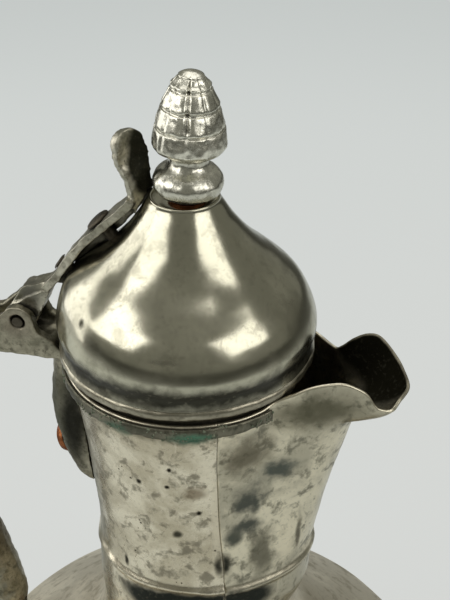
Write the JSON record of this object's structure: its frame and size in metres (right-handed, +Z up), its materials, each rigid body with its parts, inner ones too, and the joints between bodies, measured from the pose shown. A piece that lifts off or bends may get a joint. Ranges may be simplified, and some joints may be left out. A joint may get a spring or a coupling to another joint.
{
  "type": "dallah coffee pot",
  "caption": "Long-necked metal coffee pot with an open crescent beak, domed hinged lid with a turned finial and thumb lever, and a cast side handle riveted to the body.",
  "frame": {"origin": "centre of the flat base, on the belly's axis", "axes": "+Z up; +X towards the beak, -X towards the handle; the hinge pin lies along Y"},
  "size_m": [0.2231, 0.208, 0.334],
  "materials": {
    "tinned_sheet": "worn tinning over hammered sheet, warm grey",
    "polished_sheet": "rubbed tinned sheet with small pits",
    "dark_casting": "dark patinated casting",
    "light_casting": "light worn casting with dark pits",
    "copper": "brown worn copper",
    "dark_rivet": "dark worn metal"
  },
  "bodies": {
    "pot": {"lower_body": "tinned_sheet", "base_disc": "tinned_sheet", "neck_panel": "tinned_sheet", "spout_panel": "tinned_sheet", "rim_band": "tinned_sheet", "handle": "dark_casting", "hinge_pin": "copper", "leaf_rivet": "copper", "leaf_rove": "copper", "lug_rivet_upper": "copper", "lug_rivet_lower": "copper", "lug_rove_upper": "copper", "lug_rove_lower": "copper"},
    "lid": {"lid_dome": "polished_sheet", "lid_plate": "tinned_sheet", "lid_sleeve": "tinned_sheet", "finial": "light_casting", "finial_washer": "copper", "lid_strap": "dark_casting", "strap_rivet_upper": "dark_rivet", "strap_rivet_lower": "dark_rivet", "strap_rove_upper": "copper", "strap_rove_lower": "copper"}
  },
  "joints": [
    {"name": "lid_hinge", "type": "hinge", "parent": "pot", "child": "lid", "pos_m": [-0.0633, 0, 0.2359], "axis": [0, -1, 0], "range_deg": [0, 100]}
  ]
}
